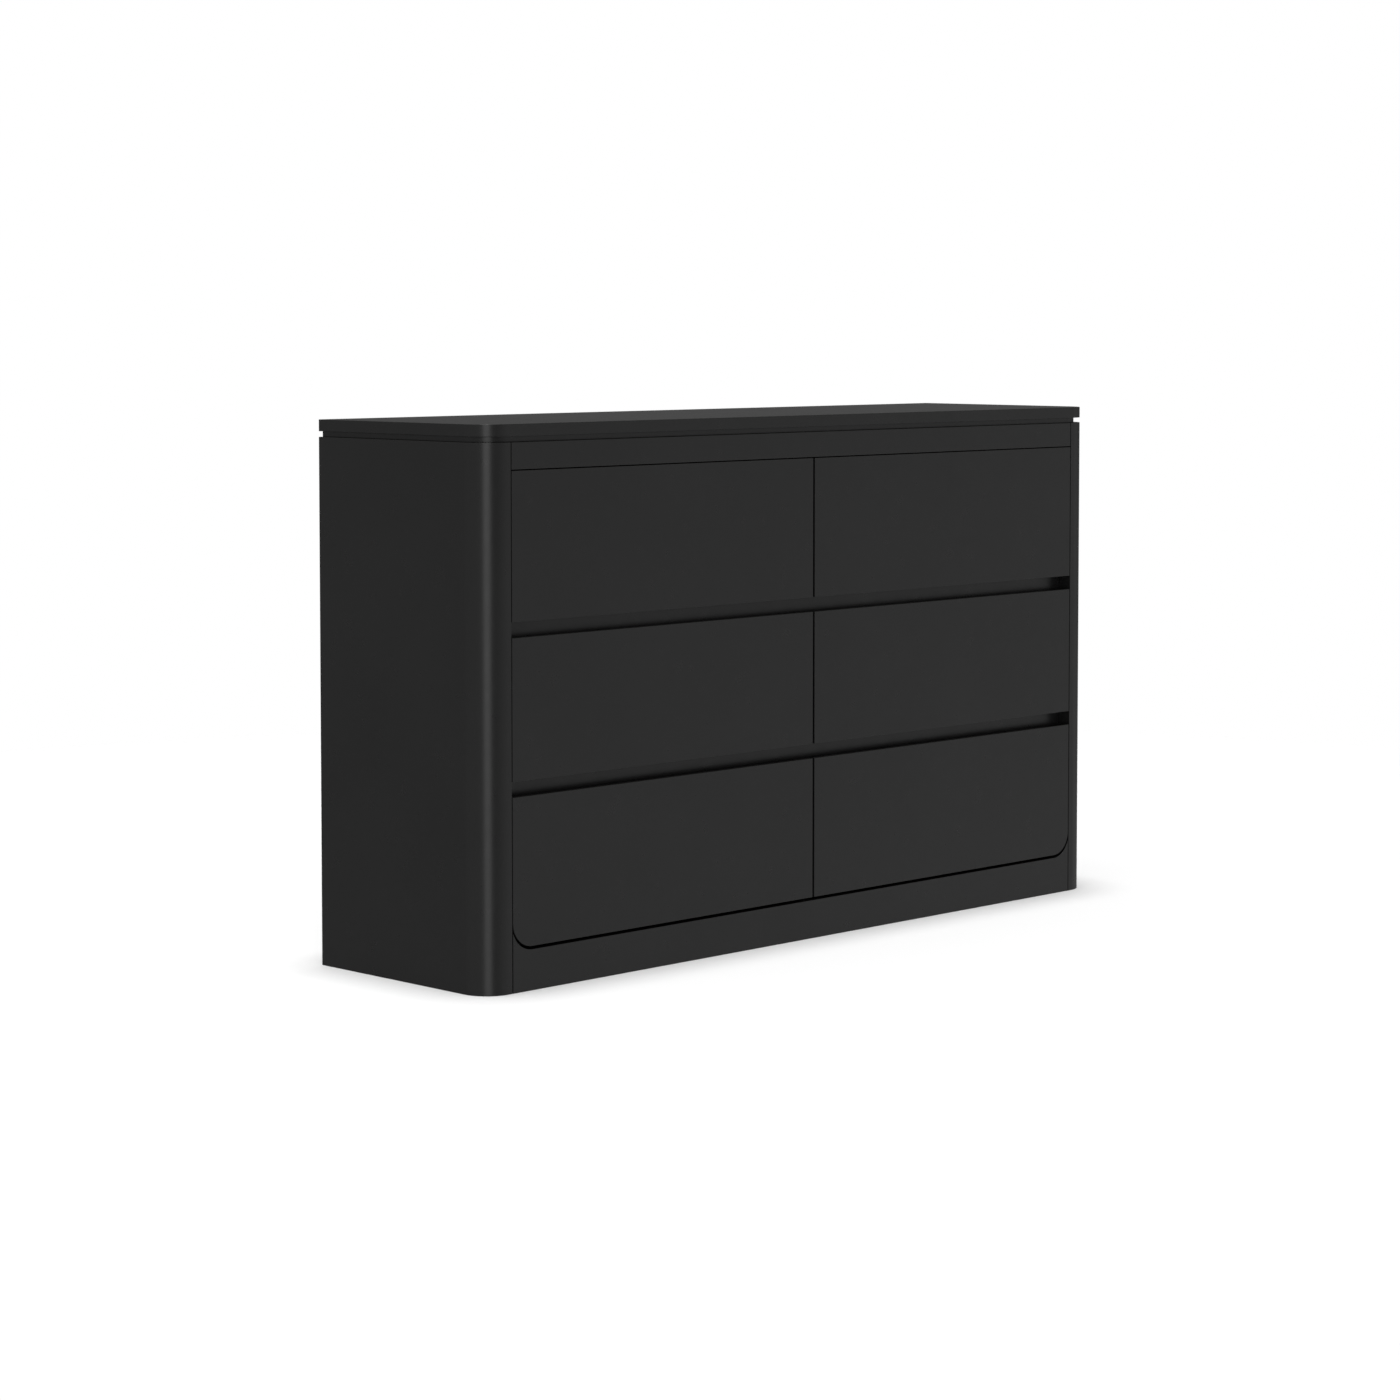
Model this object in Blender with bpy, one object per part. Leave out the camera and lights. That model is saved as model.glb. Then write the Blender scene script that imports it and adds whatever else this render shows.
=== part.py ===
"""A six-drawer dresser with rounded front corners, a floating top and finger gaps in place of handles.

Metres, +Z up. The dresser stands on Z = 0 and its front faces -Y. The origin is the centre of its footprint.
The carcass is a pair of curved side panels lined by flat inner sides, with a divider between two bays of
three drawers. Each drawer is a front, a folded wrap (both sides and the back), a bottom and two runners,
and it rolls on two tracks screwed to the walls of its bay.
"""

import math

import bmesh
import bpy

# ---------------------------------------------------------------- overall size
WIDTH = 1.400
DEPTH = 0.377
HEIGHT = 0.837
BOARD = 0.018  # thickness of the main furniture board
FIT = 0.0003  # gap left between pieces that touch
ARRIS = 0.0006  # softened edge of the visible boards
ARRIS_ANGLE = 35  # degrees: flatter edges, such as those between the facets of a curve, aren't softened
SMOOTH_ANGLE = 30  # degrees: facets that meet more steeply than this are shaded with a sharp edge

FRONT_Y = -DEPTH / 2
BACK_Y = DEPTH / 2

# ---------------------------------------------------------------- top and rounded sides
CORNER_R = 0.046  # outer radius of the two upright front corners
CORNER_STEPS = 18
POST_SIZE = 0.053  # width and depth of the solid post that each side panel ends in
SHADOW_H = 0.0085  # height of the recess under the top
SHADOW_INSET = 0.0075
BODY_H = HEIGHT - BOARD - SHADOW_H
OPENING_X = WIDTH / 2 - POST_SIZE  # half the width between the two posts
LINER_T = 0.015  # inner sides, which carry the tracks
BACK_T = 0.003
INNER_BACK_Y = BACK_Y - 0.005  # where the inner boards end

# ---------------------------------------------------------------- fronts and rails, from the floor up
BASE_H = 0.0614
BASE_GAP = 0.0047
FINGER_GAP = 0.023
TOP_GAP = 0.0014
RAIL_SEAM = 0.0016  # fine seam between the ends of the fixed front rails and the posts
ROW_HEIGHTS = {"lower": 0.2236, "middle": 0.2115, "upper": 0.2218}
SIDE_GAP = 0.0016
CENTRE_GAP = 0.004
LOWER_CORNER_R = 0.038  # rounded outer corner of the two lower fronts
LOWER_CORNER_STEPS = 12
HORN_R = 0.040  # hollow in each end of the base rail, which follows that corner
HORN_TIP = 0.0008  # width of the blunt tip the hollow leaves beside the post
RAIL_SETBACK = 0.024  # the cross rails stand just behind the fronts
RAIL_H = 0.040
RAIL_DROP = 0.004  # cross rail's lower edge, below the upper edge of the front under it
PULL_DEPTH = 0.010  # finger pull: the back of each edge at a finger gap is cut away at a slant
PULL_H = 0.015
NOTCH_BELOW = 0.016  # clear height under a cross rail in the divider's front edge

# ---------------------------------------------------------------- drawer boxes
BOX_W = 0.612
BOX_DEPTH = 0.330
BOX_H = 0.150
BOX_T = 0.012
BOX_ABOVE_RAIL = 0.006
BOX_ABOVE_BASE = 0.012
BOTTOM_T = 0.005
GROOVE_Z = 0.008
GROOVE_DEPTH = 0.005
EDGE_OVERSHOOT = 0.002  # how far a slanted cut runs past the faces it starts from
DIVIDER_HALF = BOARD / 2

# ---------------------------------------------------------------- slides
SLIDE_L = 0.300
SLIDE_START = 0.004  # behind the front's back face
SLIDE_Z = 0.040  # centre line above the box's lower edge
STEEL = 0.0012
TRACK_HALF_H = 0.0175
TRACK_REACH = 0.0096
TRACK_LIP = 0.0033
RUNNER_HALF_H = 0.012
RUNNER_REACH = 0.0090

# ---------------------------------------------------------------- base
LEG_TOP = BASE_H - BOARD - FIT
LEG_FOOT = ((0.0225, 0.0), (0.0225, 0.005), (0.013, 0.009))  # (radius, height) pairs of the turned leg
LEG_HEAD = ((0.013, 0.034), (0.026, 0.039), (0.026, LEG_TOP))
LEG_STEPS = 28
BACK_RAIL_Y = 0.150
STRIP_HALF = 0.010
STRIP_T = 0.0009
STRIP_WEB_HALF = 0.0008


def clear_scene():
    for obj in list(bpy.data.objects):
        bpy.data.objects.remove(obj, do_unlink=True)


def make_material(name, colour, roughness, metallic=0.0):
    material = bpy.data.materials.new(name)
    material.use_nodes = True
    shader = material.node_tree.nodes["Principled BSDF"]
    shader.inputs["Base Color"].default_value = (*colour, 1.0)
    shader.inputs["Roughness"].default_value = roughness
    shader.inputs["Metallic"].default_value = metallic
    return material


def make_materials():
    return {
        "black": make_material("matte_black_board", (0.022, 0.022, 0.022), 0.55),
        "inside": make_material("black_inner_board", (0.012, 0.012, 0.012), 0.70),
        "box": make_material("charcoal_box_foil", (0.050, 0.050, 0.053), 0.60),
        "zinc": make_material("zinc_steel", (0.56, 0.57, 0.58), 0.35, 1.0),
        "plastic": make_material("black_plastic", (0.020, 0.020, 0.020), 0.50),
    }


# ---------------------------------------------------------------- shape helpers
def arc(centre, radius, start, end, steps):
    """Points along an arc, angles in degrees, both ends included."""
    angles = [math.radians(start + (end - start) * i / steps) for i in range(steps + 1)]
    return [(centre[0] + radius * math.cos(a), centre[1] + radius * math.sin(a)) for a in angles]


def mirrored(outline):
    """The outline with its first coordinate reversed, still running anticlockwise."""
    return [(-u, v) for u, v in reversed(outline)]


def prism_mesh(name, outline, low, high, axis):
    """A closed prism: an anticlockwise outline swept from low to high along the axis.

    The outline's two coordinates are (x, y) for Z, (x, z) for Y and (y, z) for X.
    """
    places = {
        "X": lambda u, v, w: (w, u, v),
        "Y": lambda u, v, w: (u, w, v),
        "Z": lambda u, v, w: (u, v, w),
    }
    place = places[axis]
    mesh = bpy.data.meshes.new(name)
    shape = bmesh.new()
    corners = [shape.verts.new(place(u, v, low)) for u, v in outline]
    cap = shape.faces.new(corners)
    swept = bmesh.ops.extrude_face_region(shape, geom=[cap])["geom"]
    far_end = [item for item in swept if isinstance(item, bmesh.types.BMVert)]
    step = [b - a for a, b in zip(place(0, 0, low), place(0, 0, high))]
    bmesh.ops.translate(shape, vec=step, verts=far_end)
    bmesh.ops.recalc_face_normals(shape, faces=shape.faces)
    shape.to_mesh(mesh)
    shape.free()
    return mesh


def box_mesh(name, low, high):
    outline = [(low[0], low[1]), (high[0], low[1]), (high[0], high[1]), (low[0], high[1])]
    return prism_mesh(name, outline, low[2], high[2], "Z")


def turned_mesh(name, profile, steps):
    """A solid of revolution about Z from (radius, height) pairs, lowest first."""
    mesh = bpy.data.meshes.new(name)
    shape = bmesh.new()
    rings = []
    directions = [(math.cos(math.tau * i / steps), math.sin(math.tau * i / steps)) for i in range(steps)]
    for radius, height in profile:
        rings.append([shape.verts.new((radius * x, radius * y, height)) for x, y in directions])
    for below, above in zip(rings, rings[1:]):
        for i in range(steps):
            j = (i + 1) % steps
            shape.faces.new((below[i], below[j], above[j], above[i]))
    shape.faces.new(list(reversed(rings[0])))
    shape.faces.new(rings[-1])
    shape.to_mesh(mesh)
    shape.free()
    return mesh


def add_object(name, mesh, material, parent=None, location=(0.0, 0.0, 0.0)):
    obj = bpy.data.objects.new(name, mesh)
    bpy.context.scene.collection.objects.link(obj)
    if not mesh.materials:
        mesh.materials.append(material)
    mesh.shade_smooth()
    mesh.set_sharp_from_angle(angle=math.radians(SMOOTH_ANGLE))
    obj.location = location
    obj.parent = parent
    return obj


def soften(obj, width=ARRIS, segments=2):
    """Breaks the sharp edges of a board, and leaves the facets of its curves alone."""
    bevel = obj.modifiers.new("arris", "BEVEL")
    bevel.width = width
    bevel.segments = segments
    bevel.limit_method = "ANGLE"
    bevel.angle_limit = math.radians(ARRIS_ANGLE)
    return obj


def cut(obj, name, mesh):
    """Cuts a mesh, given in the board's own coordinates, out of a board. The cut's own edges stay sharp."""
    cutter = bpy.data.objects.new(name, mesh)
    bpy.context.scene.collection.objects.link(cutter)
    cutter.hide_render = True
    cutter.display_type = "WIRE"
    cutter.parent = obj
    boolean = obj.modifiers.new(name, "BOOLEAN")
    boolean.operation = "DIFFERENCE"
    boolean.object = cutter
    return obj


# ---------------------------------------------------------------- heights that follow from the rows
def front_levels():
    """{row: (lower edge, upper edge)} of the fronts, stacked from the base up."""
    levels = {}
    z = BASE_H + BASE_GAP
    for row, height in ROW_HEIGHTS.items():
        levels[row] = (z, z + height)
        z += height + FINGER_GAP
    return levels


def rail_level(row, levels):
    """(lower edge, upper edge) of the cross rail that shows above a row's fronts."""
    low = levels[row][1] - RAIL_DROP
    return low, low + RAIL_H


def box_levels(levels):
    """{row: height of the box's lower edge}: each box clears the rail or the bottom under it."""
    return {
        "lower": BASE_H + BOX_ABOVE_BASE,
        "middle": rail_level("lower", levels)[1] + BOX_ABOVE_RAIL,
        "upper": rail_level("middle", levels)[1] + BOX_ABOVE_RAIL,
    }


# ---------------------------------------------------------------- carcass
def plan_outline(half_width, front):
    """Plan of the top and its shadow plate: square at the back, rounded at both front corners."""
    inner_x = half_width - CORNER_R
    centre_y = front + CORNER_R
    right = arc((inner_x, centre_y), CORNER_R, -90, 0, CORNER_STEPS)
    left = arc((-inner_x, centre_y), CORNER_R, 180, 270, CORNER_STEPS)
    return [*right, (half_width, BACK_Y), (-half_width, BACK_Y), *left]


def side_outline():
    """Plan of the left side panel: a flat board with a solid post, rounded outside, along its front."""
    outer_x = -WIDTH / 2
    board_x = outer_x + BOARD
    post_back = FRONT_Y + POST_SIZE
    rounded = arc((outer_x + CORNER_R, FRONT_Y + CORNER_R), CORNER_R, 180, 270, CORNER_STEPS)
    post = [(-OPENING_X, FRONT_Y), (-OPENING_X, post_back), (board_x, post_back)]
    return [(outer_x, BACK_Y), *rounded, *post, (board_x, BACK_Y)]


def base_rail_outline(half):
    """Front view of the base rail: its ends sweep up round the lower drawers' outer corners."""
    end_angle = -math.degrees(math.acos((HORN_R - HORN_TIP - RAIL_SEAM) / HORN_R))
    hollow = arc((OPENING_X - HORN_R, BASE_H + HORN_R), HORN_R, end_angle, -90, LOWER_CORNER_STEPS)
    right = [(half, 0.0), (half, hollow[0][1]), *hollow]
    return [*right, *mirrored(right)]


def build_top(mats):
    slab = prism_mesh("top_slab", plan_outline(WIDTH / 2, FRONT_Y), HEIGHT - BOARD, HEIGHT, "Z")
    soften(add_object("top_slab", slab, mats["black"]))
    outline = plan_outline(WIDTH / 2 - SHADOW_INSET, FRONT_Y + SHADOW_INSET)
    plate = prism_mesh("shadow_gap_plate", outline, BODY_H + FIT, HEIGHT - BOARD - FIT, "Z")
    add_object("shadow_gap_plate", plate, mats["black"])


def build_sides(mats):
    outlines = {"left": side_outline(), "right": mirrored(side_outline())}
    for side, outline in outlines.items():
        name = f"side_panel_{side}"
        soften(add_object(name, prism_mesh(name, outline, 0.0, BODY_H, "Z"), mats["black"]))
    liner = box_mesh("inner_side", (0.0, FRONT_Y + POST_SIZE + FIT, 0.0), (LINER_T, INNER_BACK_Y, BODY_H))
    for side, x in (("left", -OPENING_X - LINER_T), ("right", OPENING_X)):
        add_object(f"inner_side_{side}", liner, mats["inside"], location=(x, 0.0, 0.0))


def build_shelves(mats):
    """The level boards at the top and bottom of the bays, and what holds the bottom up."""
    half = OPENING_X - FIT
    start = FRONT_Y + BOARD + FIT
    board = box_mesh("level_board", (-half, start, 0.0), (half, INNER_BACK_Y, BOARD))
    add_object("bottom_panel", board, mats["inside"], location=(0.0, 0.0, BASE_H - BOARD))
    add_object("carcass_top_panel", board, mats["inside"], location=(0.0, 0.0, BODY_H - BOARD))
    back_rail = box_mesh("back_base_rail", (-half, BACK_RAIL_Y, 0.0), (half, BACK_RAIL_Y + BOARD, LEG_TOP))
    add_object("back_base_rail", back_rail, mats["inside"])
    leg = turned_mesh("centre_leg", LEG_FOOT + LEG_HEAD, LEG_STEPS)
    add_object("centre_leg", leg, mats["plastic"])


def build_rails(mats, levels):
    half = OPENING_X - RAIL_SEAM
    top_low = levels["upper"][1] + TOP_GAP
    top_rail = box_mesh("top_front_rail", (-half, FRONT_Y, top_low), (half, FRONT_Y + BOARD, BODY_H))
    soften(add_object("top_front_rail", top_rail, mats["black"]))
    outline = base_rail_outline(half)
    base_rail = prism_mesh("base_front_rail", outline, FRONT_Y, FRONT_Y + BOARD, "Y")
    add_object("base_front_rail", base_rail, mats["black"])
    start = FRONT_Y + RAIL_SETBACK
    reach = OPENING_X - FIT
    cross = box_mesh("cross_rail", (-reach, start, 0.0), (reach, start + BOARD, RAIL_H))
    for name, row in (("cross_rail_lower", "lower"), ("cross_rail_upper", "middle")):
        z = rail_level(row, levels)[0]
        soften(add_object(name, cross, mats["black"], location=(0.0, 0.0, z)))


def build_divider(mats, levels):
    """The upright between the bays, notched so that the cross rails run unbroken in front of it."""
    low = (-DIVIDER_HALF, FRONT_Y + BOARD + FIT, BASE_H + FIT)
    high = (DIVIDER_HALF, INNER_BACK_Y - STRIP_T - FIT, BODY_H - BOARD - FIT)
    divider = add_object("centre_divider", box_mesh("centre_divider", low, high), mats["inside"])
    notch_back = FRONT_Y + RAIL_SETBACK + BOARD + FIT
    for row in ("lower", "middle"):
        rail_low, rail_high = rail_level(row, levels)
        corner_a = (-BOARD, FRONT_Y, rail_low - NOTCH_BELOW)
        corner_b = (BOARD, notch_back, rail_high + FIT)
        cut(divider, f"notch_{row}", box_mesh(f"notch_{row}", corner_a, corner_b))


def build_back(mats):
    """Two thin back panels, joined on the centre line by a plastic strip with an I section."""
    front = INNER_BACK_Y + FIT
    low_z = BASE_H - BOARD
    outer = WIDTH / 2 - BOARD - FIT
    inner = STRIP_WEB_HALF + FIT
    for side, x0, x1 in (("left", -outer, -inner), ("right", inner, outer)):
        name = f"back_panel_{side}"
        panel = box_mesh(name, (x0, front, low_z), (x1, front + BACK_T, BODY_H - FIT))
        add_object(name, panel, mats["inside"])
    y0 = INNER_BACK_Y - STRIP_T
    y1 = INNER_BACK_Y
    y2 = front + BACK_T + FIT
    y3 = y2 + STRIP_T
    right = [(STRIP_HALF, y0), (STRIP_HALF, y1), (STRIP_WEB_HALF, y1), (STRIP_WEB_HALF, y2)]
    right += [(STRIP_HALF, y2), (STRIP_HALF, y3)]
    outline = [*right, *mirrored(right)]
    strip = prism_mesh("back_joint_strip", outline, BASE_H + FIT, BODY_H - BOARD - FIT, "Z")
    add_object("back_joint_strip", strip, mats["plastic"])


# ---------------------------------------------------------------- drawers
def front_outline(side, row, low, high):
    """Front view of a drawer front, about its bay's centre line. Lower fronts have one round corner."""
    bay_x = (OPENING_X + DIVIDER_HALF) / 2
    inner = bay_x - CENTRE_GAP / 2  # towards the middle of the dresser
    outer = bay_x - OPENING_X + SIDE_GAP
    if row == "lower":
        centre = (outer + LOWER_CORNER_R, low + LOWER_CORNER_R)
        corner = arc(centre, LOWER_CORNER_R, 180, 270, LOWER_CORNER_STEPS)
    else:
        corner = [(outer, low)]
    outline = [*corner, (inner, low), (inner, high), (outer, high)]
    return outline if side == "left" else mirrored(outline)


def wrap_outline():
    """Plan of the folded wrap: both sides and the back, open towards the front."""
    half = BOX_W / 2
    inner = half - BOX_T
    back = BOX_DEPTH - BOX_T
    left = [(-half, FIT), (-inner, FIT), (-inner, back)]
    right = [(inner, back), (inner, FIT), (half, FIT)]
    return [*left, *right, (half, BOX_DEPTH), (-half, BOX_DEPTH)]


def track_outline():
    """Section of a track: a channel with turned-in lips, its web on the wall at u = 0."""
    h, t, reach, lip = TRACK_HALF_H, STEEL, TRACK_REACH, TRACK_LIP
    outside = [(0.0, -h), (reach, -h), (reach, lip - h)]
    inside = [(reach - t, lip - h), (reach - t, t - h), (t, t - h)]
    upper = [(u, -v) for u, v in reversed([*outside, *inside])]
    return [*outside, *inside, *upper]


def runner_outline():
    """Section of a runner: a smaller channel, its web on the drawer's side at u = 0."""
    h, t, reach = RUNNER_HALF_H, STEEL, RUNNER_REACH
    upper = [(0.0, h), (-reach, h), (-reach, h - t), (-t, h - t)]
    lower = [(u, -v) for u, v in reversed(upper)]
    return [*upper, *lower]


def slide_meshes():
    """The two halves of a slide, for the left and for the right of a drawer, each shared by all six."""
    y0, y1 = SLIDE_START, SLIDE_START + SLIDE_L
    return {
        ("track", "l"): prism_mesh("track_l", track_outline(), y0, y1, "Y"),
        ("track", "r"): prism_mesh("track_r", mirrored(track_outline()), y0, y1, "Y"),
        ("runner", "l"): prism_mesh("runner_l", runner_outline(), y0, y1, "Y"),
        ("runner", "r"): prism_mesh("runner_r", mirrored(runner_outline()), y0, y1, "Y"),
    }


def groove_cut(obj):
    """The groove that takes the drawer's bottom, cut in a wrap or in the back of a front."""
    half = BOX_W / 2 - BOX_T + GROOVE_DEPTH
    low = (-half, -GROOVE_DEPTH, GROOVE_Z)
    high = (half, BOX_DEPTH - BOX_T + GROOVE_DEPTH, GROOVE_Z + BOTTOM_T + 2 * FIT)
    name = f"{obj.name}_groove"
    return cut(obj, name, box_mesh(name, low, high))


def pull_cut(obj, edge_z, inward):
    """The slanted finger pull along the back of one edge. inward is +1 above the edge and -1 below it."""
    over = EDGE_OVERSHOOT
    slope = PULL_DEPTH / PULL_H
    base_z = edge_z - inward * over
    tip_z = edge_z + inward * (PULL_H + over / slope)
    outline = [(-PULL_DEPTH - over * slope, base_z), (over, base_z), (over, tip_z)][::inward]
    name = f"{obj.name}_pull_{'low' if inward > 0 else 'high'}"
    half = WIDTH / 4 + BOARD
    return cut(obj, name, prism_mesh(name, outline, -half, half, "X"))


def build_drawers(mats, levels):
    slides = slide_meshes()
    wrap = prism_mesh("box_wrap", wrap_outline(), 0.0, BOX_H, "Z")
    half = BOX_W / 2 - BOX_T + GROOVE_DEPTH - FIT
    bottom_back = BOX_DEPTH - BOX_T + GROOVE_DEPTH - FIT
    bottom_z = GROOVE_Z + FIT
    corner_a = (-half, FIT - GROOVE_DEPTH, bottom_z)
    corner_b = (half, bottom_back, bottom_z + BOTTOM_T)
    bottom = box_mesh("box_bottom", corner_a, corner_b)
    bay_x = (OPENING_X + DIVIDER_HALF) / 2
    bay_half = (OPENING_X - DIVIDER_HALF) / 2
    for row, box_z in box_levels(levels).items():
        low, high = (z - box_z for z in levels[row])
        for side, x in (("left", -bay_x), ("right", bay_x)):
            name = f"{row}_{side}"
            drawer = bpy.data.objects.new(f"drawer_{name}", None)
            drawer.location = (x, FRONT_Y + BOARD, box_z)
            bpy.context.scene.collection.objects.link(drawer)

            face = prism_mesh(f"{name}_front", front_outline(side, row, low, high), -BOARD, 0.0, "Y")
            front = groove_cut(soften(add_object(f"{name}_front", face, mats["black"], drawer)))
            if row != "upper":
                pull_cut(front, high, -1)
            if row != "lower":
                pull_cut(front, low, 1)
            groove_cut(add_object(f"{name}_box_wrap", wrap, mats["box"], drawer))
            add_object(f"{name}_box_bottom", bottom, mats["box"], drawer)

            for hand, sign in (("l", -1), ("r", 1)):
                on_box = (sign * (BOX_W / 2 + FIT), 0.0, SLIDE_Z)
                on_wall = (x + sign * (bay_half - FIT), FRONT_Y + BOARD, box_z + SLIDE_Z)
                add_object(f"{name}_runner_{hand}", slides["runner", hand], mats["zinc"], drawer, on_box)
                add_object(f"{name}_track_{hand}", slides["track", hand], mats["zinc"], location=on_wall)


def main():
    clear_scene()
    mats = make_materials()
    levels = front_levels()
    build_top(mats)
    build_sides(mats)
    build_shelves(mats)
    build_rails(mats, levels)
    build_divider(mats, levels)
    build_back(mats)
    build_drawers(mats, levels)


main()
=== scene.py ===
"""Finishes, small fittings, light and camera for the six-drawer dresser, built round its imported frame."""

import math
from itertools import product

import bmesh
import bpy
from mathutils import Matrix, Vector


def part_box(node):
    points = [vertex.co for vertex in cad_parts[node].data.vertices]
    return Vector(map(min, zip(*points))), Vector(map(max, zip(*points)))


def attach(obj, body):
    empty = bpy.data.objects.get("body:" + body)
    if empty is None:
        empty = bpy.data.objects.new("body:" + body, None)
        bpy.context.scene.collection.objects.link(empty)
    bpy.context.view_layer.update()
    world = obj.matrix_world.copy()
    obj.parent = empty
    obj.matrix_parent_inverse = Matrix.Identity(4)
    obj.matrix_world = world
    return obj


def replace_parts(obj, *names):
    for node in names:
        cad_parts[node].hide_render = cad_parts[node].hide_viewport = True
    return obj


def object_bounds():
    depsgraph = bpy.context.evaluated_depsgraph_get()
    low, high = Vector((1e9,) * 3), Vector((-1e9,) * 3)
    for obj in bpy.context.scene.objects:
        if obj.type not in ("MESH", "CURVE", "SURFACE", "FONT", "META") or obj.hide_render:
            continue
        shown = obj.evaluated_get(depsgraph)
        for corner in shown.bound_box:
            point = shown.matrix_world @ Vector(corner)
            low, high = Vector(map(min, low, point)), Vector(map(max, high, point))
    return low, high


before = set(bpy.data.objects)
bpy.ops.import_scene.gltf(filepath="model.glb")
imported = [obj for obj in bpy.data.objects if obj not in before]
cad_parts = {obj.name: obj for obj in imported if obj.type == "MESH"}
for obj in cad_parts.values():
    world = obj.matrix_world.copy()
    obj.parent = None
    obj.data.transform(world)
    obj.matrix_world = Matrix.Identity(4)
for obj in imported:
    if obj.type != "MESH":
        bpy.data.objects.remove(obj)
cad_low, cad_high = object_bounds()

# ---------------------------------------------------------------- sizes, in metres
SETTLE = 0.00028  # closes the gap that the CAD leaves above and below the shadow-gap plate
BOARD = 0.018  # thickness of a side panel
CORNER_R = 0.046  # outer radius of the two upright front corners
CORNER_STEPS = 40  # facets in each of them
SHADOW_INSET = 0.0075  # depth of the recess under the top
POST_SIZE = 0.053  # width and depth of the post that each side panel ends in
EDGE_R = 0.0005  # rounded arris of the top board and the curved sides
EDGE_STEPS = 3
THIN_EDGE = 0.0003  # on the sheets, the steel and the tips of the base rail
BOARD_EDGE = 0.0004
FOLD_EDGE = 0.0010  # folded corners of the drawers' wraps
ROUNDED_ABOVE = 35.0  # degrees: flatter edges aren't rounded
SAME_CORNER = 0.00002  # the CAD's corners that lie closer than this are joined
SAME_FACE = 0.5  # degrees: the CAD's triangles that bend less than this become one face
AREA_WEIGHT = 60  # how much a large face turns the normals of its corners
ROWS = ("upper", "middle", "lower")
SIDES = ("left", "right")
HANDS = ("l", "r")

# ---------------------------------------------------------------- fittings, in metres
CONTACT = 0.00002  # left between a fitting and what it sits on
ROUND_STEPS = 14  # facets round a ball or a nail
BALL_STEPS = 8  # facets from a ball's lowest point to its highest
STEEL = 0.0012  # sheet of the tracks and runners
SCREW_R = 0.0036
SCREW_RISE = 0.0018  # pan heads, on the runners
FLAT_RISE = 0.0012  # low heads, in the tracks
SLOT_HALF = 0.0005  # half the width of one bar of the cross recess
SLOT_REACH = 0.0019  # from the middle of the recess to the end of a bar
SLOT_FLOOR = 0.7  # size of the recess's floor, to that of its mouth
RIM_HEIGHT = 0.35  # height of the rim and of the recess's floor, to that of the head
SHOULDER = (0.80, 0.86)  # radius and height of the shoulder, to those of the head
TRACK_SCREWS = (0.092, 0.188, 0.286)  # behind the track's front end
RUNNER_SCREWS = (0.012, 0.150, 0.282)  # behind the runner's front end
LEVER_Y = (0.030, 0.068)  # the release lever's arm, behind the runner's front end
LEVER_HALF = 0.0022  # half its height
LEVER_T = 0.0026  # how far it stands out
LEVER_EDGE = 0.0006
PAD_Y = (0.062, 0.078)  # the lever's thumb pad
PAD_HALF = 0.0060  # half its height
PAD_T = 0.0036  # how far it stands out
PAD_EDGE = 0.0012
CAGE_START = 0.003  # behind the track's front end
CAGE_L = 0.074
CAGE_UP = 0.0148  # half height of the cage
CAGE_WEB = 0.0017  # from the wall to the cage's web
CAGE_REACH = 0.0072  # from the wall to the cage's lips
CAGE_T = 0.0005
CAGE_EDGE = 0.0001
BALL_R = 0.0020
BALL_UP = 0.01415  # from the slide's centre line to a row of balls
BALL_FROM_WALL = 0.0050
BALL_COUNT = 10
CAM_R = 0.0070
CAM_RISE = 0.0006
CAM_BACK = 0.034  # behind the drawer's front
CAM_HEIGHTS = (0.082, 0.126)  # over the wrap's lower edge
NAIL_R = 0.0026
NAIL_RISE = 0.0009
NAIL_PROFILE = ((1.0, 0.0), (1.0, 0.4), (0.75, 0.85), (0.0, 1.0))  # (radius, height), to those of the head
NAIL_IN = 0.009  # from the panel's edges
NAILS_ACROSS = 5
NAILS_UP = 6

# ---------------------------------------------------------------- camera, in metres, degrees and mm
CAMERA_AT = (-4.0206, -3.9371, 0.9946)
CAMERA_YAW = 45.114
CAMERA_PITCH = 3.346
CAMERA_LENS = 89.056
CAMERA_SENSOR = 36.0
CAMERA_SHIFT_Y = -0.130

# ---------------------------------------------------------------- light
# Each wall is a soft lobe round a direction. A span gives the cosines where it starts and where it is full.
ROOM_LEVEL = 0.146
BRIGHT_WALL = (0.540, -0.710, -0.450)
BRIGHT_WALL_SPAN = (0.55, 0.98)
BRIGHT_WALL_LEVEL = 0.515
GREY_WALL = (-0.873, -0.160, 0.460)
GREY_WALL_SPAN = (-0.1, 0.9)
GREY_WALL_LEVEL = 0.43
LOW_WALL = (0.790, 0.520, -0.310)  # lights the right side and the back
LOW_WALL_SPAN = (0.45, 0.95)
LOW_WALL_LEVEL = 0.38
LOW_WALL_RISES = (-0.26, -0.10)  # heights between which it fades out, all under the horizon
STRIP_TOWARDS = (-0.652, -0.758)  # across the floor, towards the tall strip of light
STRIP_EDGE = (0.15, 0.26)  # sideways from its middle: where it starts to fade and where it ends
STRIP_ENDS = (0.70, 0.85)  # how squarely a direction faces it: where it starts and where it is full
STRIP_LEVEL = 2.20
STRIP_SINKS = (-0.28, 0.0)  # it is dimmer below the horizon, down to STRIP_LOW of its level
STRIP_LOW = 0.47
BACKDROP_LEVEL = 1.0
SUN_POWER = 2.8
SUN_ANGLE = 14.0  # degrees: the softness of the overhead light
FLOOR_GREY = 0.84
FLOOR_CLOUDING = 0.004
FLOOR_FADE = (1.4, 2.8)  # radii between which the floor fades into the backdrop
FLOOR_STEPS = 96
FLOOR_IN_REFLECTIONS = 0.02  # share of the floor that glossy surfaces show


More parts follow.
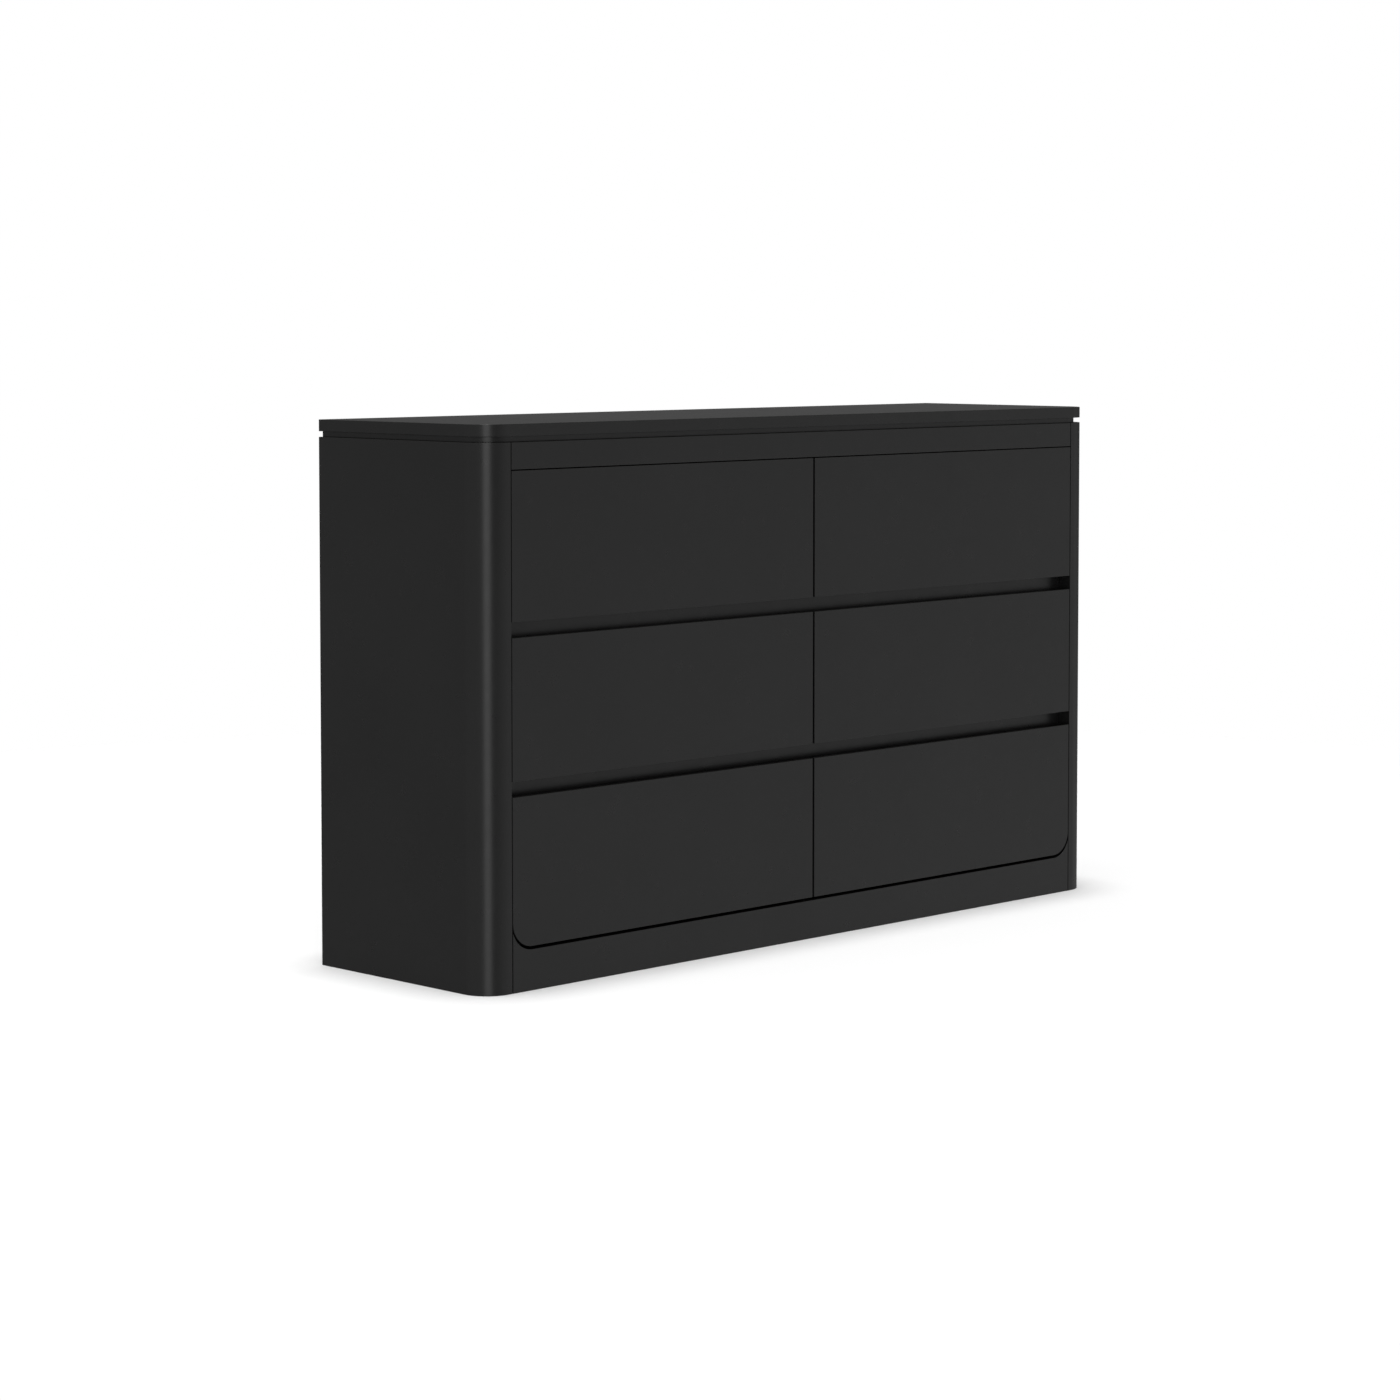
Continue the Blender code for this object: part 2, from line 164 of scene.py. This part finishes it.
# ---------------------------------------------------------------- node materials
class Shader:
    """A short way to wire one Principled material."""

    def __init__(self, name):
        self.material = bpy.data.materials.new(name)
        self.material.use_nodes = True
        self.nodes = self.material.node_tree.nodes
        self.links = self.material.node_tree.links
        self.out = self.nodes["Principled BSDF"]
        self.coords = self.nodes.new("ShaderNodeTexCoord").outputs["Object"]

    def set(self, **values):
        for key, value in values.items():
            self.out.inputs[key.replace("_", " ")].default_value = value

    def stretched(self, scale):
        node = self.nodes.new("ShaderNodeMapping")
        node.inputs["Scale"].default_value = scale
        self.links.new(self.coords, node.inputs["Vector"])
        return node.outputs["Vector"]

    def noise(self, scale, detail=2.0, roughness=0.5, stretch=None):
        node = self.nodes.new("ShaderNodeTexNoise")
        node.inputs["Scale"].default_value = scale
        node.inputs["Detail"].default_value = detail
        node.inputs["Roughness"].default_value = roughness
        self.links.new(self.stretched(stretch) if stretch else self.coords, node.inputs["Vector"])
        return node.outputs["Fac"]

    def cells(self, scale):
        node = self.nodes.new("ShaderNodeTexVoronoi")
        node.inputs["Scale"].default_value = scale
        self.links.new(self.coords, node.inputs["Vector"])
        return node.outputs["Distance"]

    def threads(self, scale, direction, distortion=0.6):
        node = self.nodes.new("ShaderNodeTexWave")
        node.bands_direction = direction
        node.inputs["Scale"].default_value = scale
        node.inputs["Distortion"].default_value = distortion
        node.inputs["Detail"].default_value = 2.0
        self.links.new(self.coords, node.inputs["Vector"])
        return node.outputs["Fac"]

    def span(self, value, low, high, start=0.3, end=0.7):
        node = self.nodes.new("ShaderNodeMapRange")
        for key, number in (("From Min", start), ("From Max", end), ("To Min", low), ("To Max", high)):
            node.inputs[key].default_value = number
        self.links.new(value, node.inputs["Value"])
        return node.outputs["Result"]

    def blend(self, value, dark, light, start=0.3, end=0.7):
        node = self.nodes.new("ShaderNodeValToRGB")
        node.color_ramp.elements[0].position = start
        node.color_ramp.elements[0].color = (*dark, 1.0)
        node.color_ramp.elements[1].position = end
        node.color_ramp.elements[1].color = (*light, 1.0)
        self.links.new(value, node.inputs["Fac"])
        return node.outputs["Color"]

    def larger(self, a, b):
        node = self.nodes.new("ShaderNodeMath")
        node.operation = "MAXIMUM"
        self.links.new(a, node.inputs[0])
        self.links.new(b, node.inputs[1])
        return node.outputs[0]

    def relief(self, *layers):
        """Stacks (height, strength, distance) layers of bump."""
        below = None
        for height, strength, distance in layers:
            node = self.nodes.new("ShaderNodeBump")
            node.inputs["Strength"].default_value = strength
            node.inputs["Distance"].default_value = distance
            self.links.new(height, node.inputs["Height"])
            if below is not None:
                self.links.new(below, node.inputs["Normal"])
            below = node.outputs["Normal"]
        self.links.new(below, self.out.inputs["Normal"])

    def colour(self, socket):
        self.links.new(socket, self.out.inputs["Base Color"])

    def roughness(self, socket):
        self.links.new(socket, self.out.inputs["Roughness"])


def grey(value, warm=0.0):
    return (value * (1 + warm), value, value * (1 - warm))


def lacquer():
    """Matte black lacquer on the visible boards: faint clouding, handling haze and fine orange peel."""
    s = Shader("look_matte_lacquer")
    s.set(Specular_IOR_Level=0.34)
    clouds = s.noise(5.0, 3.0)
    s.colour(s.blend(clouds, grey(0.0065), grey(0.0080)))
    s.roughness(s.span(s.noise(38.0, 4.0, 0.6), 0.27, 0.32))
    s.relief((s.noise(26.0, 1.0), 0.03, 0.0004), (s.noise(950.0, 2.0), 0.16, 0.00006))
    return s.material


def inner_board():
    """Black melamine with a pearl-embossed surface, on the boards inside the carcass."""
    s = Shader("look_black_melamine")
    s.set(Specular_IOR_Level=0.25)
    s.colour(s.blend(s.noise(420.0, 4.0, 0.7), grey(0.0085), grey(0.0150)))
    s.roughness(s.span(s.noise(60.0, 3.0), 0.55, 0.66))
    s.relief((s.cells(1100.0), 0.35, 0.00008))
    return s.material


def box_foil():
    """Charcoal foil with a printed and embossed linen weave, on the drawer boxes."""
    s = Shader("look_linen_foil")
    s.set(Specular_IOR_Level=0.35)
    weave = s.larger(s.larger(s.threads(260.0, "X"), s.threads(260.0, "Y")), s.threads(260.0, "Z"))
    s.colour(s.blend(weave, grey(0.036, -0.02), grey(0.068, -0.02), 0.55, 0.98))
    s.roughness(s.span(s.noise(45.0, 3.0), 0.50, 0.62))
    s.relief((weave, 0.30, 0.00010))
    return s.material


def hardboard():
    """Thin black-painted hardboard: its short fibres show through the paint."""
    s = Shader("look_painted_hardboard")
    s.set(Specular_IOR_Level=0.25)
    fibres = s.noise(340.0, 6.0, 0.75, stretch=(1.0, 1.0, 0.35))
    s.colour(s.blend(fibres, grey(0.026, 0.03), grey(0.052, 0.03), 0.35, 0.75))
    s.roughness(s.span(s.noise(30.0, 3.0), 0.62, 0.78))
    s.relief((fibres, 0.40, 0.00015))
    return s.material


def zinc():
    """Rolled steel with bright zinc plate: drawing lines along it and a slight blue and straw tint."""
    s = Shader("look_zinc_steel")
    s.set(Metallic=1.0)
    lines = s.noise(900.0, 3.0, 0.6, stretch=(1.0, 0.02, 1.0))
    tint = s.blend(s.noise(24.0, 2.0), (0.53, 0.55, 0.59), (0.63, 0.62, 0.58))
    s.colour(tint)
    s.roughness(s.span(lines, 0.24, 0.42))
    s.relief((lines, 0.12, 0.00004))
    return s.material


def hardened_steel():
    """Balls and screws: bright steel with a little smeared grease."""
    s = Shader("look_hardened_steel")
    s.set(Metallic=1.0)
    s.colour(s.blend(s.noise(160.0, 3.0), (0.42, 0.42, 0.43), (0.60, 0.60, 0.61)))
    s.roughness(s.span(s.noise(300.0, 3.0), 0.16, 0.34))
    s.relief((s.noise(1200.0, 2.0), 0.08, 0.00003))
    return s.material


def plastic():
    """Moulded black plastic with a fine spark-eroded grain."""
    s = Shader("look_moulded_plastic")
    s.set(Specular_IOR_Level=0.45)
    s.colour(s.blend(s.noise(90.0, 3.0), grey(0.016), grey(0.023)))
    s.roughness(s.span(s.noise(500.0, 4.0, 0.7), 0.44, 0.60))
    s.relief((s.noise(1500.0, 3.0, 0.7), 0.35, 0.00006))
    return s.material


# ---------------------------------------------------------------- shape helpers
def arc(centre, radius, start, end, steps):
    angles = [math.radians(start + (end - start) * i / steps) for i in range(steps + 1)]
    return [(centre[0] + radius * math.cos(a), centre[1] + radius * math.sin(a)) for a in angles]


def mirrored(outline):
    return [(-u, v) for u, v in reversed(outline)]


def square_axes(axis):
    """A unit vector along an axis, and two more that are square to it and to each other."""
    axis = Vector(axis).normalized()
    side = axis.orthogonal().normalized()
    return axis, side, axis.cross(side)


def new_object(name, shape, material):
    """Turns a bmesh into an object with one material."""
    mesh = bpy.data.meshes.new(name)
    shape.to_mesh(mesh)
    shape.free()
    mesh.materials.append(material)
    obj = bpy.data.objects.new(name, mesh)
    bpy.context.scene.collection.objects.link(obj)
    return obj


def solid(name, shape, material):
    """Turns a filled bmesh into a smooth-shaded object with its faces pointing out."""
    bmesh.ops.recalc_face_normals(shape, faces=shape.faces)
    obj = new_object(name, shape, material)
    obj.data.shade_smooth()
    return obj


def upright_prism(name, outline, low, high, material):
    """Sweeps an anticlockwise plan outline from low to high, with rounded arrises and even shading."""
    shape = bmesh.new()
    cap = shape.faces.new([shape.verts.new((x, y, low)) for x, y in outline])
    swept = bmesh.ops.extrude_face_region(shape, geom=[cap])["geom"]
    upper = [item for item in swept if isinstance(item, bmesh.types.BMVert)]
    bmesh.ops.translate(shape, vec=(0, 0, high - low), verts=upper)
    obj = solid(name, shape, material)
    round_edges(obj, EDGE_R, EDGE_STEPS)
    even_normals(obj)
    return obj


def round_edges(obj, radius, steps):
    bevel = obj.modifiers.new("rounded_edges", "BEVEL")
    bevel.width = radius
    bevel.segments = steps
    bevel.limit_method = "ANGLE"
    bevel.angle_limit = math.radians(ROUNDED_ABOVE)


def even_normals(obj):
    weighted = obj.modifiers.new("even_normals", "WEIGHTED_NORMAL")
    weighted.mode = "FACE_AREA"
    weighted.weight = AREA_WEIGHT
    weighted.keep_sharp = True


def smooth_group():
    """A node group that shades every face smooth."""
    group = bpy.data.node_groups.new("shade_smooth", "GeometryNodeTree")
    group.interface.new_socket("Geometry", in_out="INPUT", socket_type="NodeSocketGeometry")
    group.interface.new_socket("Geometry", in_out="OUTPUT", socket_type="NodeSocketGeometry")
    start = group.nodes.new("NodeGroupInput")
    smooth = group.nodes.new("GeometryNodeSetShadeSmooth")
    end = group.nodes.new("NodeGroupOutput")
    group.links.new(start.outputs[0], smooth.inputs["Geometry"])
    group.links.new(smooth.outputs["Geometry"], end.inputs[0])
    return group


def dress(node, material, radius=0.0, steps=2):
    """Gives a CAD node its finish. With a radius its edges are rounded too."""
    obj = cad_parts[node]
    for slot in obj.material_slots:
        slot.link = "OBJECT"
        slot.material = material
    weld = obj.modifiers.new("joined_corners", "WELD")
    weld.merge_threshold = SAME_CORNER
    flat = obj.modifiers.new("whole_faces", "DECIMATE")
    flat.decimate_type = "DISSOLVE"
    flat.angle_limit = math.radians(SAME_FACE)
    if radius:
        round_edges(obj, radius, steps)
    smooth = obj.modifiers.new("smooth", "NODES")
    smooth.node_group = SMOOTH
    even_normals(obj)


# ---------------------------------------------------------------- visible carcass
def build_top(mats):
    low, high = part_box("top_slab")

    def outline(inset):
        half = high.x - inset
        front = low.y + inset
        right = arc((half - CORNER_R, front + CORNER_R), CORNER_R, -90, 0, CORNER_STEPS)
        return [*right, (half, high.y), (-half, high.y), *mirrored(right)]

    top = upright_prism("top_board", outline(0.0), low.z, high.z, mats["lacquer"])
    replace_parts(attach(top, "carcass"), "top_slab")
    low_z, high_z = (corner.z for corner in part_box("shadow_gap_plate"))
    inset = outline(SHADOW_INSET)
    plate = upright_prism("shadow_gap_board", inset, low_z - SETTLE, high_z + SETTLE, mats["lacquer"])
    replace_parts(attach(plate, "carcass"), "shadow_gap_plate")


def build_sides(mats):
    low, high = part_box("side_panel_left")
    rounded = arc((low.x + CORNER_R, low.y + CORNER_R), CORNER_R, 180, 270, CORNER_STEPS)
    back = low.y + POST_SIZE
    board_x = low.x + BOARD
    post = [(high.x, low.y), (high.x, back), (board_x, back)]
    outline = [(low.x, high.y), *rounded, *post, (board_x, high.y)]
    for side, plan in (("left", outline), ("right", mirrored(outline))):
        panel = upright_prism(f"curved_side_{side}", plan, low.z, high.z, mats["lacquer"])
        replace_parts(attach(panel, "carcass"), f"side_panel_{side}")


def dress_carcass(mats):
    for node in ("top_front_rail", "cross_rail_lower", "cross_rail_upper"):
        dress(node, mats["lacquer"])
    dress("base_front_rail", mats["lacquer"], THIN_EDGE, 1)
    boards = ("inner_side_left", "inner_side_right", "centre_divider", "bottom_panel")
    for node in (*boards, "carcass_top_panel", "back_base_rail"):
        dress(node, mats["inner"], BOARD_EDGE)
    for side in SIDES:
        dress(f"back_panel_{side}", mats["hardboard"], THIN_EDGE)
    dress("centre_leg", mats["plastic"], BOARD_EDGE)
    dress("back_joint_strip", mats["plastic"])


def dress_drawers(mats):
    for row in ROWS:
        for side in SIDES:
            name = f"{row}_{side}"
            dress(f"{name}_front", mats["lacquer"])
            dress(f"{name}_box_wrap", mats["foil"], FOLD_EDGE)
            dress(f"{name}_box_bottom", mats["foil"])
            for hand in HANDS:
                dress(f"{name}_runner_{hand}", mats["zinc"], THIN_EDGE)
                dress(f"{name}_track_{hand}", mats["zinc"], THIN_EDGE)


# ---------------------------------------------------------------- fittings
def turned(shape, centre, axis, profile):
    """Adds a closed turned form to a bmesh, from (radius, distance along the axis) pairs."""
    axis, side, other = square_axes(axis)
    centre = Vector(centre)
    rings = []
    for radius, along in profile:
        if radius == 0.0:
            rings.append([shape.verts.new(centre + axis * along)])
            continue
        angles = [math.tau * i / ROUND_STEPS for i in range(ROUND_STEPS)]
        spokes = [side * math.cos(a) + other * math.sin(a) for a in angles]
        rings.append([shape.verts.new(centre + axis * along + spoke * radius) for spoke in spokes])
    for below, above in zip(rings, rings[1:]):
        for i in range(ROUND_STEPS):
            j = (i + 1) % ROUND_STEPS
            lower = (below[i % len(below)], below[j % len(below)])
            upper = (above[j % len(above)], above[i % len(above)])
            shape.faces.new(list(dict.fromkeys((*lower, *upper))))
    for ring, order in ((rings[0], -1), (rings[-1], 1)):
        if len(ring) > 1:
            shape.faces.new(ring[::order])


def slab(shape, low, high, radius):
    """Adds a box with rounded edges to a bmesh."""
    corners = [shape.verts.new(place) for place in product(*zip(low, high))]
    quads = ((0, 1, 3, 2), (4, 6, 7, 5), (0, 4, 5, 1), (2, 3, 7, 6), (0, 2, 6, 4), (1, 5, 7, 3))
    faces = [shape.faces.new([corners[i] for i in quad]) for quad in quads]
    edges = list(dict.fromkeys(edge for face in faces for edge in face.edges))
    bmesh.ops.bevel(shape, geom=edges, offset=radius, segments=2, affect="EDGES", profile=0.5)


def fitting(name, shape, material, body):
    """Turns a filled bmesh into a smooth-shaded piece that rides on a body."""
    obj = solid(name, shape, material)
    even_normals(obj)
    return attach(obj, body)


def screw_head(shape, centre, axis, radius=SCREW_R, rise=SCREW_RISE):
    """A pan head with a real cross recess: a ring of crown round a sunken cross."""
    axis, side, other = square_axes(axis)
    centre = Vector(centre)

    def point(angle, distance, along):
        outwards = side * math.cos(angle) + other * math.sin(angle)
        return shape.verts.new(centre + axis * along + outwards * distance)

    spread = math.asin(SLOT_HALF / SLOT_REACH)
    inner = SLOT_HALF * math.sqrt(2.0)
    cross = []
    for quarter in range(4):
        base = quarter * math.pi / 2
        cross += [(base - spread, SLOT_REACH), (base + spread, SLOT_REACH), (base + math.pi / 4, inner)]
    crown = [point(angle, distance, rise) for angle, distance in cross]
    floor = [point(angle, distance * SLOT_FLOOR, rise * RIM_HEIGHT) for angle, distance in cross]
    shoulder = [point(angle, radius * SHOULDER[0], rise * SHOULDER[1]) for angle, _ in cross]
    rim = [point(angle, radius, rise * RIM_HEIGHT) for angle, _ in cross]
    foot = [point(angle, radius, 0.0) for angle, _ in cross]
    count = len(cross)
    for inner_ring, outer_ring in ((floor, crown), (crown, shoulder), (shoulder, rim), (rim, foot)):
        for i in range(count):
            j = (i + 1) % count
            shape.faces.new((inner_ring[i], inner_ring[j], outer_ring[j], outer_ring[i]))
    shape.faces.new(floor[::-1])
    shape.faces.new(foot)


def build_ball_cage(mats, name, hand):
    """The retainer between a track and its runner, with a row of balls above and below the runner."""
    sign = -1 if hand == "l" else 1
    low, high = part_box(f"{name}_track_{hand}")
    wall = low.x if sign < 0 else high.x
    centre_z = (low.z + high.z) / 2
    front = low.y + CAGE_START
    x_at = wall - sign * BALL_FROM_WALL
    balls = bmesh.new()
    angles = [math.pi * i / BALL_STEPS for i in range(1, BALL_STEPS)]
    belly = [(BALL_R * math.sin(angle), -BALL_R * math.cos(angle)) for angle in angles]
    profile = [(0.0, -BALL_R), *belly, (0.0, BALL_R)]
    for level in (-1, 1):
        for i in range(BALL_COUNT):
            y = front + CAGE_L * (i + 0.5) / BALL_COUNT
            turned(balls, (x_at, y, centre_z + level * BALL_UP), (0, 0, 1), profile)
    fitting(f"{name}_balls_{hand}", balls, mats["steel"], "carcass")
    strip = bmesh.new()
    outline = [(CAGE_WEB, -CAGE_UP), (CAGE_REACH, -CAGE_UP), (CAGE_REACH, -CAGE_UP + CAGE_T)]
    outline += [(CAGE_WEB + CAGE_T, -CAGE_UP + CAGE_T)]
    outline += [(u, -v) for u, v in reversed(outline)]
    caps = []
    for y in (front, front + CAGE_L):
        caps.append([strip.verts.new((wall - sign * u, y, centre_z + v)) for u, v in outline])
    for i in range(len(outline)):
        j = (i + 1) % len(outline)
        strip.faces.new((caps[0][i], caps[0][j], caps[1][j], caps[1][i]))
    strip.faces.new(caps[0][::-1])
    strip.faces.new(caps[1])
    cage = fitting(f"{name}_ball_cage_{hand}", strip, mats["zinc"], "carcass")
    round_edges(cage, CAGE_EDGE, 1)


def build_slide_fittings(mats, name, hand):
    """Screws in the track and in the runner, and the runner's release lever."""
    sign = -1 if hand == "l" else 1
    low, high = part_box(f"{name}_track_{hand}")
    web = (low.x if sign < 0 else high.x) - sign * STEEL
    centre_z = (low.z + high.z) / 2
    screws = bmesh.new()
    for y in TRACK_SCREWS:
        screw_head(screws, (web - sign * CONTACT, low.y + y, centre_z), (-sign, 0, 0), rise=FLAT_RISE)
    fitting(f"{name}_track_screws_{hand}", screws, mats["steel"], "carcass")
    low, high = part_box(f"{name}_runner_{hand}")
    web = (high.x if sign < 0 else low.x) + sign * STEEL
    screws = bmesh.new()
    for y in RUNNER_SCREWS:
        screw_head(screws, (web + sign * CONTACT, low.y + y, centre_z), (sign, 0, 0))
    fitting(f"{name}_runner_screws_{hand}", screws, mats["steel"], f"drawer_{name}")
    lever = bmesh.new()
    arm = (LEVER_Y, LEVER_HALF, LEVER_T, LEVER_EDGE)
    pad = (PAD_Y, PAD_HALF, PAD_T, PAD_EDGE)
    for (y0, y1), half, thickness, edge in (arm, pad):
        x0, x1 = sorted((web + sign * CONTACT, web + sign * (CONTACT + thickness)))
        slab(lever, (x0, low.y + y0, centre_z - half), (x1, low.y + y1, centre_z + half), edge)
    fitting(f"{name}_lever_{hand}", lever, mats["plastic"], f"drawer_{name}")


def build_cams(mats, name):
    """Cam discs in the drawer's sides that pull the front tight, each with a cross slot."""
    low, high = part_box(f"{name}_box_wrap")
    cams = bmesh.new()
    for x, sign in ((low.x, -1), (high.x, 1)):
        for up in CAM_HEIGHTS:
            centre = (x + sign * CONTACT, low.y + CAM_BACK, low.z + up)
            screw_head(cams, centre, (sign, 0, 0), CAM_R, CAM_RISE)
    fitting(f"{name}_cams", cams, mats["steel"], f"drawer_{name}")


def build_back_nails(mats):
    """Pins that hold each thin back panel to the sides, shelves and divider."""
    profile = [(NAIL_R * radius, NAIL_RISE * height) for radius, height in NAIL_PROFILE]
    for side in SIDES:
        low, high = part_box(f"back_panel_{side}")
        x0, x1 = low.x + NAIL_IN, high.x - NAIL_IN
        z0, z1 = low.z + NAIL_IN, high.z - NAIL_IN
        columns = [x0 + (x1 - x0) * i / NAILS_ACROSS for i in range(NAILS_ACROSS + 1)]
        rows = [z0 + (z1 - z0) * i / NAILS_UP for i in range(1, NAILS_UP)]
        spots = [*product(columns, (z0, z1)), *product((x0, x1), rows)]
        nails = bmesh.new()
        for x, z in spots:
            turned(nails, (x, high.y + CONTACT, z), (0, 1, 0), profile)
        fitting(f"back_nails_{side}", nails, mats["steel"], "carcass")


def build_fittings(mats):
    for row in ROWS:
        for side in SIDES:
            name = f"{row}_{side}"
            build_cams(mats, name)
            for hand in HANDS:
                build_ball_cage(mats, name, hand)
                build_slide_fittings(mats, name, hand)
    build_back_nails(mats)


# ---------------------------------------------------------------- stage
def build_floor():
    """A pale disc that fades into the backdrop well outside the dresser."""
    shape = bmesh.new()
    bmesh.ops.create_circle(shape, cap_ends=True, segments=FLOOR_STEPS, radius=FLOOR_FADE[1])
    s = Shader("studio_floor")
    s.set(Roughness=0.9, Specular_IOR_Level=0.1)
    shades = (grey(FLOOR_GREY - FLOOR_CLOUDING), grey(FLOOR_GREY + FLOOR_CLOUDING))
    s.colour(s.blend(s.noise(90.0, 3.0), *shades))
    reach = s.nodes.new("ShaderNodeVectorMath")
    reach.operation = "LENGTH"
    s.links.new(s.coords, reach.inputs[0])
    rays = s.nodes.new("ShaderNodeLightPath").outputs["Is Glossy Ray"]
    fade = s.nodes.new("ShaderNodeMath")
    fade.operation = "MULTIPLY"
    s.links.new(s.span(reach.outputs["Value"], 1.0, 0.0, *FLOOR_FADE), fade.inputs[0])
    s.links.new(s.span(rays, 1.0, FLOOR_IN_REFLECTIONS, 0.0, 1.0), fade.inputs[1])
    s.links.new(fade.outputs[0], s.out.inputs["Alpha"])
    floor = new_object("floor", shape, s.material)
    floor.location.z = cad_low.z


class Room:
    """The world's light as a function of direction."""

    def __init__(self, world):
        self.nodes, self.links = world.node_tree.nodes, world.node_tree.links
        self.direction = self.nodes.new("ShaderNodeTexCoord").outputs["Generated"]

    def along(self, axis):
        node = self.nodes.new("ShaderNodeVectorMath")
        node.operation = "DOT_PRODUCT"
        node.inputs[1].default_value = axis
        self.links.new(self.direction, node.inputs[0])
        return node.outputs["Value"]

    def ramp(self, value, start, end, low, high):
        node = self.nodes.new("ShaderNodeMapRange")
        node.interpolation_type = "SMOOTHSTEP"
        for key, number in (("From Min", start), ("From Max", end), ("To Min", low), ("To Max", high)):
            node.inputs[key].default_value = number
        self.links.new(value, node.inputs["Value"])
        return node.outputs["Result"]

    def math(self, operation, *values):
        node = self.nodes.new("ShaderNodeMath")
        node.operation = operation
        for socket, value in zip(node.inputs, values):
            self.links.new(value, socket)
        return node.outputs[0]

    def glow(self, level=None):
        node = self.nodes.new("ShaderNodeBackground")
        node.inputs["Color"].default_value = (1.0, 1.0, 1.0, 1.0)
        node.inputs["Strength"].default_value = BACKDROP_LEVEL
        if level is not None:
            self.links.new(level, node.inputs["Strength"])
        return node.outputs["Background"]


def build_world():
    """A soft room with one tall strip of light towards the left front corner, before a pale backdrop."""
    world = bpy.data.worlds.new("studio")
    bpy.context.scene.world = world
    world.use_nodes = True
    room = Room(world)
    brightest = ROOM_LEVEL + BRIGHT_WALL_LEVEL
    bright = room.ramp(room.along(BRIGHT_WALL), *BRIGHT_WALL_SPAN, ROOM_LEVEL, brightest)
    grey_wall = room.ramp(room.along(GREY_WALL), *GREY_WALL_SPAN, 0.0, GREY_WALL_LEVEL)
    sideways = room.math("ABSOLUTE", room.along((STRIP_TOWARDS[1], -STRIP_TOWARDS[0], 0.0)))
    strip = room.ramp(sideways, *STRIP_EDGE, STRIP_LEVEL, 0.0)
    facing = room.ramp(room.along((*STRIP_TOWARDS, 0.0)), *STRIP_ENDS, 0.0, 1.0)
    height = room.ramp(room.along((0.0, 0.0, 1.0)), *STRIP_SINKS, STRIP_LOW, 1.0)
    strip = room.math("MULTIPLY", room.math("MULTIPLY", strip, facing), height)
    low_wall = room.ramp(room.along(LOW_WALL), *LOW_WALL_SPAN, 0.0, LOW_WALL_LEVEL)
    depth = room.ramp(room.along((0.0, 0.0, 1.0)), *LOW_WALL_RISES, 1.0, 0.0)
    walls = room.math("ADD", grey_wall, room.math("MULTIPLY", low_wall, depth))
    level = room.math("ADD", room.math("ADD", bright, walls), strip)
    rays = room.nodes.new("ShaderNodeLightPath")
    mix = room.nodes.new("ShaderNodeMixShader")
    room.links.new(rays.outputs["Is Camera Ray"], mix.inputs["Fac"])
    room.links.new(room.glow(level), mix.inputs[1])
    room.links.new(room.glow(), mix.inputs[2])
    room.links.new(mix.outputs["Shader"], room.nodes["World Output"].inputs["Surface"])


def build_lights():
    sun = bpy.data.lights.new("overhead", "SUN")
    sun.energy = SUN_POWER
    sun.angle = math.radians(SUN_ANGLE)
    overhead = bpy.data.objects.new("overhead", sun)
    bpy.context.scene.collection.objects.link(overhead)


def build_camera():
    data = bpy.data.cameras.new("camera")
    data.sensor_width = CAMERA_SENSOR
    data.lens = CAMERA_LENS
    data.shift_y = CAMERA_SHIFT_Y
    camera = bpy.data.objects.new("camera", data)
    camera.location = CAMERA_AT
    camera.rotation_euler = (math.radians(90.0 - CAMERA_PITCH), 0.0, math.radians(-CAMERA_YAW))
    bpy.context.scene.collection.objects.link(camera)
    bpy.context.scene.camera = camera


SMOOTH = smooth_group()
mats = {"lacquer": lacquer(), "inner": inner_board(), "foil": box_foil(), "hardboard": hardboard()}
mats |= {"zinc": zinc(), "steel": hardened_steel(), "plastic": plastic()}
build_top(mats)
build_sides(mats)
dress_carcass(mats)
dress_drawers(mats)
build_fittings(mats)
build_floor()
build_world()
build_lights()
build_camera()
bpy.context.scene.view_settings.view_transform = "Standard"
